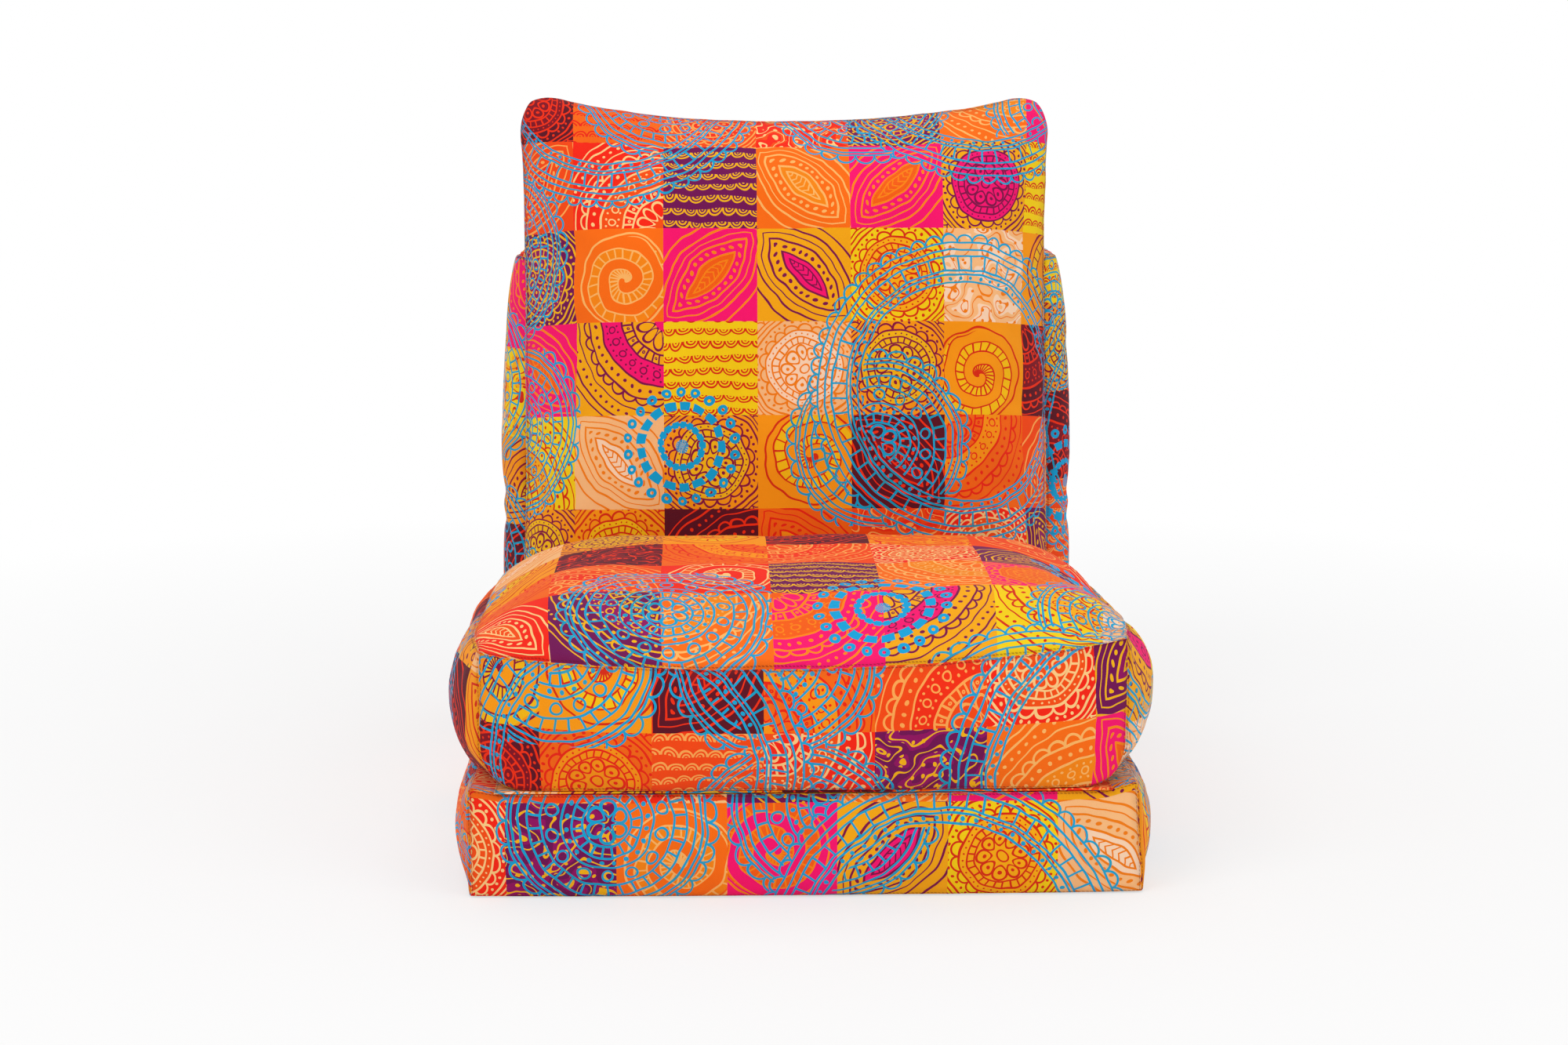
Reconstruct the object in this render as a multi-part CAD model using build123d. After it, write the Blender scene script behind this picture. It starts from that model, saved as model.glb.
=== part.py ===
from build123d import *
import math
import os

# Flip-out foam chair: a base, a seat folded onto it, an upright back and a loose pillow.
# Millimetres, +Z up, the front faces -Y, the origin is at the bottom centre of the whole chair.
# A covered section is a flat foam slab, a fibre wrap round it and a sewn cover of six cloth panels.
# A curved face is a grid of small flat facets on one quartic form, so panels share their seams exactly.

# Cloth, wrap and gaps
cover_thickness = 1.6
wrap_thickness = 9.0
strip_thickness = 1.0
inner_gap = 0.4
rest_gap = 0.4

# Base section, flat on the floor
base_width = 608.0
base_height = 97.0
base_side_bow = 6.0
base_side_bulge = 19.0
base_front_bow = 5.0
base_front_bulge = 8.0
base_rear_bow = 2.0
base_rear_bulge = 2.0

# Seat section, folded onto the base
seat_width = 600.0
seat_depth = 490.0
seat_height = 116.0
seat_side_bow = 11.0
seat_side_bulge = 21.0
seat_front_bow = 8.0
seat_front_bulge = 13.0
seat_rear_bow = 2.0
seat_rear_bulge = 3.0
seat_crown = 54.0
fold_gap = 3.4

# Back section, upright behind the base
back_width = 600.0
back_thickness = 120.0
back_height = 528.0
back_side_bow = 10.0
back_side_bulge = 17.0
back_front_bow = 2.0
back_front_bulge = 10.0
back_rear_bow = 2.0
back_rear_bulge = 10.0
back_crown = 12.0
section_gap = 18.0

# Pillow, leaning on the back with its foot on the base behind the seat
pillow_width = 596.0
pillow_height = 620.0
pillow_side_draw = 6.0
pillow_end_draw = 32.0
pillow_front_crown = 78.0
pillow_rear_crown = 44.0
pillow_cover = 1.4
pillow_lean = 10.0
seat_pillow_gap = 7.2
pillow_back_gap = 0.5

# Fabric hinge strips
strip_width = 560.0
fold_lip = 7.0
fold_leaf = 46.0

# Zips: a tape with a chain, a slider on the chain and a pull tab on the slider
zip_length = 300.0
zip_tape_width = 24.0
pillow_tape_width = 8.0
zip_tape_thickness = 0.8
chain_width = 3.6
chain_height = 1.2
slider_length = 11.0
slider_width = 7.6
slider_height = 2.6
slider_gap = 0.3
slider_end_gap = 6.0
bail_radius = 3.4
bail_opening_radius = 1.8
bail_width = 2.0
tab_length = 15.0
tab_width = 5.6
tab_thickness = 1.1
tab_hole_length = 4.2
tab_hole_gap = 0.5
base_zip_height_share = 0.5
seat_zip_height_share = 0.32

# Heights and depths that follow from the sizes above. Depths count from the base's front seam.
seat_floor = base_height + fold_gap
back_floor = strip_thickness + 2 * rest_gap
pillow_floor = base_height + rest_gap
lean_slope = math.tan(math.radians(pillow_lean))
seat_rear = seat_depth + seat_rear_bow + seat_rear_bulge
seat_edge_lean = (seat_floor + seat_height - pillow_floor) * lean_slope
pillow_foot = seat_rear + seat_pillow_gap + pillow_front_crown - seat_edge_lean
back_edge_lean = (back_floor + back_height - pillow_floor) * lean_slope
back_front = pillow_foot + back_edge_lean + pillow_rear_crown + back_front_bow + pillow_back_gap
base_depth = back_front - section_gap
back_rear = back_front + back_thickness
front_reach = seat_front_bow + seat_front_bulge
rear_reach = back_rear + back_rear_bow + back_rear_bulge
centre_shift = (front_reach - rear_reach) / 2

# Heights inside a zip, from its tape's inner face
slider_base = zip_tape_thickness + slider_gap
slider_top = slider_base + slider_height
bail_centre = slider_top + tab_thickness / 2 + slider_gap
slider_start = -(zip_length - slider_length) / 2 + slider_end_gap

# Cells of a curved face, fine along a long side and coarse along a short one, and its profile's power
FINE_CELLS = 12
COARSE_CELLS = 6
CROWN_POWER = 4


def spots(cells):
    """Places t from -1 to 1 along a side, closer near its ends, each with its height 1 - t**4."""
    places = [math.sin(math.pi / 2 * (2 * i / cells - 1)) for i in range(cells + 1)]
    return [(t, 1 - t**CROWN_POWER) for t in places]


class Cushion:
    """A boxed cushion: straight between its corners, with bowed seams and bulging faces."""

    def __init__(self, width, depth, height, side, front, rear, crown=0, floor=0, upright=False):
        self.width, self.depth, self.height, self.floor = width, depth, height, floor
        self.side, self.front, self.rear, self.crown = side, front, rear, crown
        self.upright = upright

    def inset(self, wall):
        """The same form one wall further in."""
        width, depth, height = (size - 2 * wall for size in (self.width, self.depth, self.height))
        form = (self.side, self.front, self.rear, self.crown, self.floor + wall, self.upright)
        return Cushion(width, depth, height, *form)

    def point(self, across, along, up):
        """A point of the form, from its place and profile height along each axis."""
        (x, x_hump), (y, y_hump), (z, z_hump) = across, along, up
        side_bow, side_bulge = self.side
        front_bow, front_bulge = self.front
        rear_bow, rear_bulge = self.rear
        rear = (1 + y) / 2 * x_hump * (rear_bow + rear_bulge * z_hump)
        front = (1 - y) / 2 * x_hump * (front_bow + front_bulge * z_hump)
        return (
            x * (self.width / 2 + y_hump * (side_bow + side_bulge * z_hump)),
            y * self.depth / 2 + rear - front,
            self.floor + (1 + z) / 2 * (self.height + self.crown * x_hump * y_hump),
        )

    def grid(self, face):
        """Points of one face, which is named by its axis and sign."""
        axis, sign = face
        fixed = (sign, 0)
        across = spots(FINE_CELLS)
        along = spots(COARSE_CELLS if self.upright else FINE_CELLS)
        up = spots(FINE_CELLS if self.upright else COARSE_CELLS)
        if axis == "x":
            return [[self.point(fixed, a, b) for b in up] for a in along]
        if axis == "y":
            return [[self.point(a, fixed, b) for b in up] for a in across]
        return [[self.point(a, b, fixed) for b in along] for a in across]

    def solid(self):
        """The whole form as one closed solid."""
        return closed([self.grid((axis, sign)) for axis in "xyz" for sign in (1, -1)])

    def panel(self, face):
        """One sewn panel of the cover, mitred along its seams."""
        return between(self.grid(face), self.inset(cover_thickness).grid(face))


def facets(grid):
    """Two triangles for each cell of a grid of points, split along lines that run out to its corners."""
    faces = []
    rows, columns = len(grid) - 1, len(grid[0]) - 1
    for i in range(rows):
        for j in range(columns):
            a, b = grid[i][j : j + 2]
            d, c = grid[i + 1][j : j + 2]
            if (i < rows / 2) == (j < columns / 2):
                corners = [(a, b, c), (a, c, d)]
            else:
                corners = [(a, b, d), (b, c, d)]
            faces += [Face(Wire.make_polygon(points)) for points in corners]
    return faces


def skin(grid):
    """One flat face where a grid is level, and facets where it is curved."""
    left, right = [row[0] for row in grid], [row[-1] for row in grid]
    outline = grid[0][:-1] + right[:-1] + grid[-1][:0:-1] + left[:0:-1]
    heights = {point[2] for row in grid for point in row}
    return [Face(Wire.make_polygon(outline))] if len(heights) == 1 else facets(grid)


def closed(grids):
    """A solid bounded by grids of points that share their edges."""
    solid = Solid(Shell([face for grid in grids for face in skin(grid)]))
    return solid if solid.volume > 0 else Solid(-solid.shell())


def rims(grid):
    """The four edges of a grid, each as a row of points."""
    return [grid[0], grid[-1], [row[0] for row in grid], [row[-1] for row in grid]]


def between(outer, inner):
    """A solid between two grids, closed along their edges."""
    sides = [[a, b] for a, b in zip(rims(outer), rims(inner))]
    return closed([outer, inner] + sides)


def slab_and_wrap(cushion):
    """A flat foam slab, and the soft wrap that fills the cover round it."""
    filling = cushion.inset(cover_thickness + inner_gap)
    inside = filling.inset(wrap_thickness)
    sizes = (inside.width, inside.depth, inside.height)
    middle = Pos(0, 0, inside.floor + inside.height / 2)
    hollow = Box(*(size + 2 * inner_gap for size in sizes))
    return middle * Box(*sizes), filling.solid() - middle * hollow


def section(name, cushion, panels):
    """Every soft piece of one covered section, by node name."""
    foam, wrap = slab_and_wrap(cushion)
    nodes = {name + "_foam": foam, name + "_wadding": wrap}
    for label, face in panels.items():
        nodes[name + "_" + label] = cushion.panel(face)
    return nodes


def pillow_grids(wall):
    """The pillow's front and rear, which meet in a knife edge drawn in between the corners."""
    half_width = pillow_width / 2 - wall
    half_height = pillow_height / 2 - wall
    grids = []
    for crown in (-(pillow_front_crown - wall), pillow_rear_crown - wall):
        grid = []
        for x, x_hump in spots(FINE_CELLS):
            row = []
            for z, z_hump in spots(FINE_CELLS):
                side = x * (half_width - pillow_side_draw * z_hump)
                height = z * (half_height - pillow_end_draw * x_hump)
                row.append((side, crown * x_hump * z_hump, height))
            grid.append(row)
        grids.append(grid)
    return grids


def pillow():
    """The pillow's fill and its two cloth panels, sewn along a knife edge."""
    outer_front, outer_rear = pillow_grids(0)
    inner_front, inner_rear = pillow_grids(pillow_cover)
    return {
        "pillow_fill": closed(pillow_grids(pillow_cover + inner_gap)),
        "pillow_front_panel": between(outer_front, inner_front),
        "pillow_rear_panel": between(outer_rear, inner_rear),
    }


def zip_tape(tape_width):
    """A zip along X in the plane Y = 0, with its chain standing up towards +Y."""
    tape = Box(zip_length, zip_tape_thickness, tape_width)
    chain = Box(zip_length, chain_height, chain_width)
    chain_middle = zip_tape_thickness + chain_height / 2
    return Pos(0, zip_tape_thickness / 2, 0) * tape + Pos(0, chain_middle, 0) * chain


def zip_slider():
    """A slider that straddles the chain, with a round bail on top for the pull tab."""
    body = Pos(0, slider_base + slider_height / 2, 0) * Box(slider_length, slider_height, slider_width)
    body = fillet(body.edges().filter_by(Axis.Y), slider_width / 4)
    channel = Box(2 * slider_length, chain_height, chain_width + 2 * slider_gap)
    body -= Pos(0, slider_base + chain_height / 2, 0) * channel
    bail = Cylinder(bail_radius, bail_width) - Cylinder(bail_opening_radius, bail_width)
    below = Pos(0, -bail_centre, 0) * Box(4 * bail_radius, 2 * slider_top, 2 * bail_width)
    return body + Pos(0, bail_centre, 0) * (bail - below)


def zip_pull():
    """A flat tab whose end bar lies in the bail, drawn lying along +X."""
    tab = Pos(tab_length / 2 - tab_thickness / 2, 0, 0) * Box(tab_length, tab_thickness, tab_width)
    tab = fillet(tab.edges().filter_by(Axis.Y).sort_by(Axis.X)[-2:], tab_width / 3)
    eye = Box(tab_hole_length, tab_thickness * 2, bail_width + 2 * tab_hole_gap)
    tab -= Pos(tab_thickness / 2 + tab_hole_length / 2, 0, 0) * eye
    return Pos(0, bail_centre, 0) * tab


def zip_set(name, tape_width, place):
    """A zip, its slider at one end and its pull, each put where the cover carries them."""
    nodes = {
        name + "_zip": zip_tape(tape_width),
        name + "_zip_slider": Pos(slider_start, 0, 0) * zip_slider(),
        name + "_zip_pull": Pos(slider_start, 0, 0) * zip_pull(),
    }
    return {node: place * solid for node, solid in nodes.items()}


def front_hinge_strip():
    """The fabric hinge, folded in two between the base and the seat with its fold at the front."""
    leaf_length = fold_lip + base_front_bow + fold_leaf
    floor = base_height + rest_gap
    leaves = fold_gap - 2 * rest_gap
    outer = Box(strip_width, leaf_length, leaves)
    slit = Box(strip_width, leaf_length, leaves - 2 * strip_thickness)
    folded = outer - Pos(0, strip_thickness, 0) * slit
    return Pos(0, leaf_length / 2 - fold_lip - base_front_bow, floor + leaves / 2) * folded


def rear_hinge_strip():
    """The fabric hinge that lies on the floor from the base to the back's rear edge."""
    start = base_depth + base_rear_bow + rest_gap
    length = back_rear - start
    return Pos(0, start + length / 2, strip_thickness / 2) * Box(strip_width, length, strip_thickness)


def moved(nodes, place):
    """The same nodes, put in their place."""
    return {node: place * solid for node, solid in nodes.items()}


def chair():
    """Every node of the chair, in depths from the base's front seam."""
    base = Cushion(
        base_width,
        base_depth,
        base_height,
        (base_side_bow, base_side_bulge),
        (base_front_bow, base_front_bulge),
        (base_rear_bow, base_rear_bulge),
    )
    seat = Cushion(
        seat_width,
        seat_depth,
        seat_height,
        (seat_side_bow, seat_side_bulge),
        (seat_front_bow, seat_front_bulge),
        (seat_rear_bow, seat_rear_bulge),
        seat_crown,
    )
    back = Cushion(
        back_width,
        back_thickness,
        back_height,
        (back_side_bow, back_side_bulge),
        (back_front_bow, back_front_bulge),
        (back_rear_bow, back_rear_bulge),
        back_crown,
        upright=True,
    )
    borders = {
        "left_border": ("x", -1),
        "right_border": ("x", 1),
        "front_border": ("y", -1),
        "rear_border": ("y", 1),
    }
    lying = {"top_panel": ("z", 1), **borders}
    upright = {
        "front_panel": ("y", -1),
        "rear_panel": ("y", 1),
        "left_border": ("x", -1),
        "right_border": ("x", 1),
        "top_border": ("z", 1),
        "bottom_border": ("z", -1),
    }
    base_nodes = section("base", base, {**lying, "underside": ("z", -1)})
    seat_nodes = section("seat", seat, {**lying, "bottom_panel": ("z", -1)})
    back_nodes = section("back", back, upright)

    nodes = moved(base_nodes, Pos(0, base_depth / 2, 0))
    nodes |= moved(seat_nodes, Pos(0, seat_depth / 2, seat_floor))
    nodes |= moved(back_nodes, Pos(0, back_front + back_thickness / 2, back_floor))

    pillow_nodes = pillow()
    pillow_nodes |= zip_set("pillow", pillow_tape_width, pillow_zip_place())
    nodes |= moved(pillow_nodes, pillow_place())

    nodes |= zip_set("base", zip_tape_width, base_zip_place())
    nodes |= zip_set("seat", zip_tape_width, seat_zip_place())
    nodes |= zip_set("back", zip_tape_width, back_zip_place())
    nodes["front_hinge_strip"] = front_hinge_strip()
    nodes["rear_hinge_strip"] = rear_hinge_strip()
    return nodes


def base_zip_place():
    """Outside the base's right border, running along Y."""
    side = base_width / 2 + base_side_bow + base_side_bulge + rest_gap
    height = base_height * base_zip_height_share
    return Pos(side, base_depth / 2, height) * Rot(0, 0, -90)


def seat_zip_place():
    """Outside the seat's rear border, running along X."""
    return Pos(0, seat_rear + rest_gap, seat_floor + seat_height * seat_zip_height_share)


def back_zip_place():
    """On top of the back's top border, running along X."""
    top = back_floor + back_height + back_crown + rest_gap
    return Pos(0, back_front + back_thickness / 2, top) * Rot(90, 0, 0)


def pillow_zip_place():
    """Under the pillow's bottom seam, with the chain facing the front."""
    end_share = (zip_length / pillow_width) ** CROWN_POWER
    seam = pillow_height / 2 - pillow_end_draw * (1 - end_share)
    return Pos(0, zip_tape_thickness / 2, -seam - rest_gap - pillow_tape_width / 2) * Rot(0, 0, 180)


def pillow_place():
    """Standing on the base's rear ledge and leaning back."""
    return Pos(0, pillow_foot, pillow_floor) * Rot(-pillow_lean, 0, 0) * Pos(0, 0, pillow_height / 2)


os.makedirs("parts", exist_ok=True)
for node, solid in moved(chair(), Pos(0, centre_shift, 0)).items():
    export_step(solid, "parts/" + node + ".step")
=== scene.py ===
import math

import bpy
import numpy as np
from mathutils import Euler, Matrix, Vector


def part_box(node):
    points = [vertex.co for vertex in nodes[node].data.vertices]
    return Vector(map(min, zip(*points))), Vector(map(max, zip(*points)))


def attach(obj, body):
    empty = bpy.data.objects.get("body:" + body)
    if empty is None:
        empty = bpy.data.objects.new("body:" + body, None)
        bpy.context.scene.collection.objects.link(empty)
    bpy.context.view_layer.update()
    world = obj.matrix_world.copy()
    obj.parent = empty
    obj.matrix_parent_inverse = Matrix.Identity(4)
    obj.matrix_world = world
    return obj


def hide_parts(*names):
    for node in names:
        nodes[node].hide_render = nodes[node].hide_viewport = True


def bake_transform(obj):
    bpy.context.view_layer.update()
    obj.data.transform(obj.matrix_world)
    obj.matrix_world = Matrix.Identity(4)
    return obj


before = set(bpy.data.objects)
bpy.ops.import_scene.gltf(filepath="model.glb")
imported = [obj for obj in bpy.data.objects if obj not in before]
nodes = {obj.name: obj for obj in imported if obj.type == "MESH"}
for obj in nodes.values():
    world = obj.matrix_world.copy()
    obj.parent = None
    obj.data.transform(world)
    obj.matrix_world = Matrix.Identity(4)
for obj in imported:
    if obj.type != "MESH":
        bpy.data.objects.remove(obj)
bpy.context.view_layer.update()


# Sizes in metres, as in the frame. Depths count from the base's front seam, which is at FRONT.
FRONT = -0.39648
BASE_SIZE = (0.608, 0.66397, 0.097)
SEAT_SIZE = (0.600, 0.490, 0.116)
BACK_SIZE = (0.600, 0.120, 0.528)
BACK_FRONT = 0.68197
PILLOW_FOOT = 0.55922
PILLOW_HALF = (0.2955, 0.315)
LEAN = math.radians(10)

# Heights at which the covers rest, each just clear of what carries it
BASE_LOW, BASE_HIGH = 0.0006, 0.0972
SEAT_LOW = 0.1004
BACK_LOW = 0.0018
PILLOW_LOW = 0.0974

# The covers' mesh: its cells, the extra lines beside a seam, and how deep a seam is drawn in
CELL = 0.0105
SEAM_LINES = (0.0, 0.003, 0.009, 0.018)
GROOVE = 0.0026
PILLOW_GROOVE = 0.0004

# One patch of the print, and what lies inside a cover
PATCH = 0.1
WADDING_INSET, FOAM_INSET = 0.004, 0.016

# Cloth hinges, and the heights of the front one's two leaves
STRIP_HALF_WIDTH, STRIP_COLUMNS = 0.28, 57
FOLD_LOW, FOLD_HIGH = 0.0979, 0.0999

# Zips
TAPE_WIDTH, PILLOW_TAPE_WIDTH = 0.024, 0.008
TOOTH_REACH, TOOTH_PITCH, TOOTH_HEIGHT = 0.1485, 0.0018, 0.00205
STITCH_REACH, STITCH_PITCH, STITCH_HEIGHT = 0.147, 0.0032, 0.00092


# Shader maths written as expressions


class Number:
    """A number in a node tree. Sums and comparisons with it become Math nodes."""

    def __init__(self, tree, socket):
        self.tree, self.socket = tree, socket

    def node(self, operation, *others):
        node = self.tree.nodes.new("ShaderNodeMath")
        node.operation = operation
        for slot, value in zip(node.inputs, (self, *others)):
            if isinstance(value, Number):
                self.tree.links.new(value.socket, slot)
            else:
                slot.default_value = value
        return Number(self.tree, node.outputs[0])

    def __add__(self, other):
        return self.node("ADD", other)

    def __sub__(self, other):
        return self.node("SUBTRACT", other)

    def __mul__(self, other):
        return self.node("MULTIPLY", other)

    def __or__(self, other):
        return self.node("MAXIMUM", other)

    def __lt__(self, other):
        return self.node("LESS_THAN", other)

    def __gt__(self, other):
        return self.node("GREATER_THAN", other)

    def near(self, value, width):
        return self.node("COMPARE", value, width)

    def within(self, low, high):
        return self.near((low + high) / 2, (high - low) / 2)

    def floor(self):
        return self.node("FLOOR")

    def fract(self):
        return self.node("FRACT")

    def root(self):
        return self.node("SQRT")

    def abs(self):
        return self.node("ABSOLUTE")

    def sin(self):
        return self.node("SINE")

    def mod(self, other):
        return self.node("FLOORED_MODULO", other)

    def angle(self, across):
        return self.node("ARCTAN2", across)

    def flag(self):
        """1 for 0 and -1 for 1."""
        return self * -2 + 1


def linear(code):
    """A colour written as six hexadecimal digits, in Blender's linear values."""
    parts = [int(code[i : i + 2], 16) / 255 for i in (0, 2, 4)]
    return [c / 12.92 if c <= 0.04045 else ((c + 0.055) / 1.055) ** 2.4 for c in parts] + [1.0]


def steps(tree, place, codes):
    """One colour of a row of colours, picked by a number from 0 to 1."""
    node = tree.nodes.new("ShaderNodeValToRGB")
    node.color_ramp.interpolation = "CONSTANT"
    stops = node.color_ramp.elements
    for i, code in enumerate(codes):
        stop = stops[i] if i < 2 else stops.new(i / len(codes))
        stop.position = i / len(codes)
        stop.color = linear(code)
    tree.links.new(place.socket, node.inputs[0])
    return node.outputs[0]


def mixed(tree, amount, under, over):
    """One colour laid over another."""
    node = tree.nodes.new("ShaderNodeMix")
    node.data_type = "RGBA"
    if isinstance(amount, Number):
        tree.links.new(amount.socket, node.inputs[0])
    else:
        node.inputs[0].default_value = amount
    for slot, colour in ((6, under), (7, over)):
        if isinstance(colour, str):
            node.inputs[slot].default_value = linear(colour)
        else:
            tree.links.new(colour, node.inputs[slot])
    return node.outputs[2]


def polar(x, y):
    """Distance from the origin and turn about it, in whole turns."""
    return (x * x + y * y).root(), y.angle(x) * (0.5 / math.pi)


def along_ring(turn, count, radius):
    """Signed distance along a ring from the nearest of its evenly spaced places."""
    return ((turn * count).fract() - 0.5) * radius * (2 * math.pi / count)


def circle(x, y, radius, width):
    """The outline of a small circle."""
    return (x * x + y * y).root().near(radius, width)


def dot(x, y, radius):
    """A small filled spot."""
    return (x * x + y * y) < radius * radius


def ladder(distance, turn, inner, outer, count, width):
    """Rungs between two rings."""
    rungs = along_ring(turn, count, distance).abs() < width
    rails = distance.near(inner, width) | distance.near(outer, width)
    return rungs * distance.within(inner, outer) | rails


def scallops(distance, turn, radius, count, width):
    """A row of small arches that stand on a ring."""
    reach = math.pi * radius / count
    arch = circle(along_ring(turn, count, radius), distance - radius, reach, width)
    return arch * (distance > radius) | distance.near(radius, width)


def petals(distance, turn, inner, outer, count, width):
    """A ring of long petals, drawn in outline."""
    middle, half = (inner + outer) / 2, (outer - inner) / 2
    spread = math.pi * middle / count * 0.92
    side = along_ring(turn, count, middle) * (half / spread)
    return circle(side, distance - middle, half, width * 1.3)


def beads(distance, turn, radius, count, size):
    """A ring of filled spots."""
    return dot(along_ring(turn, count, radius), distance - radius, size)


def hoops(distance, turn, radius, count, size, width):
    """A ring of small open circles."""
    return circle(along_ring(turn, count, radius), distance - radius, size, width)


# The print. Lengths are in patches, and each colour stands for one kind of patch.
LINE = 0.0105
GROUNDS = (
    "F8980E F5240E F4CE10 F4660E F8006C F8980E 6E0050 F8C290 F4480E F5A80E 58061C FA7430"
).split()
FILLS = (
    "F3B722 F4511E F7AE20 F99A3A F4611E F5C01F 8E0E5E FAD9BC F2331C F5006E 7E1020 F68A2A"
).split()
LINES = (
    "86123C FBCF94 D62A10 EA220C F98C3C D62A10 F4B21A F08434 FBB070 7A0646 F0341A FBBE7C"
).split()


# The ornaments of the patches. Each gives its line work and its filled shape.


def fan(a, b):
    """Rings of ornament about one corner."""
    r, turn = polar(a + 0.5, b + 0.5)
    lines = (
        ladder(r, turn, 0.34, 0.45, 32, LINE)
        | scallops(r, turn, 0.84, 36, LINE)
        | hoops(r, turn, 0.57, 24, 0.035, LINE * 0.7)
        | r.near(0.69, LINE)
        | beads(r, turn, 0.765, 48, 0.019)
        | petals(r, turn, 0.1, 0.3, 12, LINE)
        | (r.near(1.13, LINE) | r.near(1.2, LINE * 0.7) | r.near(0.98, LINE * 0.7))
        | (beads(r, turn, 1.055, 72, 0.017) | hoops(r, turn, 0.39, 16, 0.011, 0.006))
        | (beads(r, turn, 0.51, 44, 0.012) | beads(r, turn, 0.635, 56, 0.012))
    )
    return lines, r.within(0.45, 0.69) | (r < 0.1)


def rose(a, b):
    """A round flower in the middle, with rings about it."""
    r, turn = polar(a, b)
    lines = (
        petals(r, turn, 0.1, 0.24, 9, LINE * 0.8)
        | ladder(r, turn, 0.26, 0.33, 26, LINE * 0.8)
        | scallops(r, turn, 0.4, 18, LINE * 0.9)
        | r.near(0.05, LINE * 0.8)
        | (r.near(0.55, LINE) | r.near(0.6, LINE * 0.8))
        | (beads(r, turn, 0.50, 40, 0.015) | beads(r, turn, 0.365, 36, 0.009))
        | (scallops(r, turn, 0.64, 30, LINE * 0.7) | beads(r, turn, 0.167, 9, 0.018))
    )
    return lines, r < 0.4


def leaf(a, b):
    """A pointed leaf along one diagonal, with outlines about it."""
    one, _ = polar(a - 0.34, b + 0.34)
    other, _ = polar(a + 0.34, b - 0.34)
    level = one | other
    down = (a + b) * 0.7071
    veins = (((down * 15 + (a - b).abs() * 9).fract() - 0.5).abs() < 0.13) * (level < 0.54)
    lines = (
        level.near(0.60, LINE)
        | level.near(0.54, LINE * 0.8)
        | veins
        | dot(((down * 12).fract() - 0.5) * 0.083, level - 0.66, 0.02)
        | (level.near(0.72, LINE) | level.near(0.86, LINE))
        | (level.near(0.79, LINE * 0.6) | level.near(0.97, LINE))
    )
    return lines, level < 0.6


def contours(a, b, smooth):
    """Wandering contour lines, with spots between some of them."""
    r, _ = polar(a, b)
    level = smooth * 7 + r * 3
    hollow = (level * 0.5).fract() > 0.55
    spots = dot((a * 9).fract() - 0.5, (b * 9).fract() - 0.5, 0.17)
    return ((level.fract() - 0.5).abs() < 0.075) | spots * hollow, hollow


def scales(a, b):
    """Rows of overlapping scales."""
    row = (b * 7).floor()
    x = ((a * 7 + row.mod(2) * 0.5).fract() - 0.5) * (1 / 7)
    y = (b * 7).fract() * (1 / 7)
    r = (x * x + y * y).root()
    return r.near(0.068, 0.009) | r.near(0.036, 0.008) | (r < 0.012), None


def curl(a, b):
    """A spiral band with rungs."""
    r, turn = polar(a + 0.08, b - 0.06)
    arm = (r * 4.2 - turn).fract()
    rungs = along_ring(turn, 22, r).abs() < LINE * 0.8
    band, inside = arm.within(0.27, 0.73), r < 0.47
    lines = arm.near(0.27, 0.035) | arm.near(0.73, 0.035) | rungs * band
    return lines * inside | r.near(0.5, LINE), band * inside


# The blue line work that runs over the patches


def rosette(r, turn):
    """A wide flower of rings."""
    return (
        (r.near(0.86, LINE) | r.near(0.80, LINE))
        | ladder(r, turn, 0.60, 0.72, 34, LINE)
        | hoops(r, turn, 0.51, 14, 0.052, LINE)
        | (r.near(0.42, LINE) | beads(r, turn, 0.37, 20, 0.022))
        | ladder(r, turn, 0.22, 0.32, 20, LINE)
        | petals(r, turn, 0.05, 0.19, 6, LINE)
        | scallops(r, turn, 0.90, 30, LINE)
    )


def crown(r, turn):
    """A bold ring of blocks round a smaller one."""
    rings = r.near(0.43, 0.045) | r.near(0.22, 0.035) | (r < 0.07)
    blocks = (((turn * 17).fract() - 0.5).abs() > 0.13) | r.near(0.22, 0.018)
    return rings * blocks | hoops(r, turn, 0.58, 22, 0.035, 0.018)


def sweep(r, turn):
    """A wide open band."""
    return (
        (r.near(1.18, LINE) | r.near(1.26, LINE) | r.near(1.52, LINE))
        | ladder(r, turn, 1.30, 1.45, 56, LINE)
        | beads(r, turn, 1.22, 64, 0.02)
        | scallops(r, turn, 1.60, 58, LINE)
    )


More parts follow.
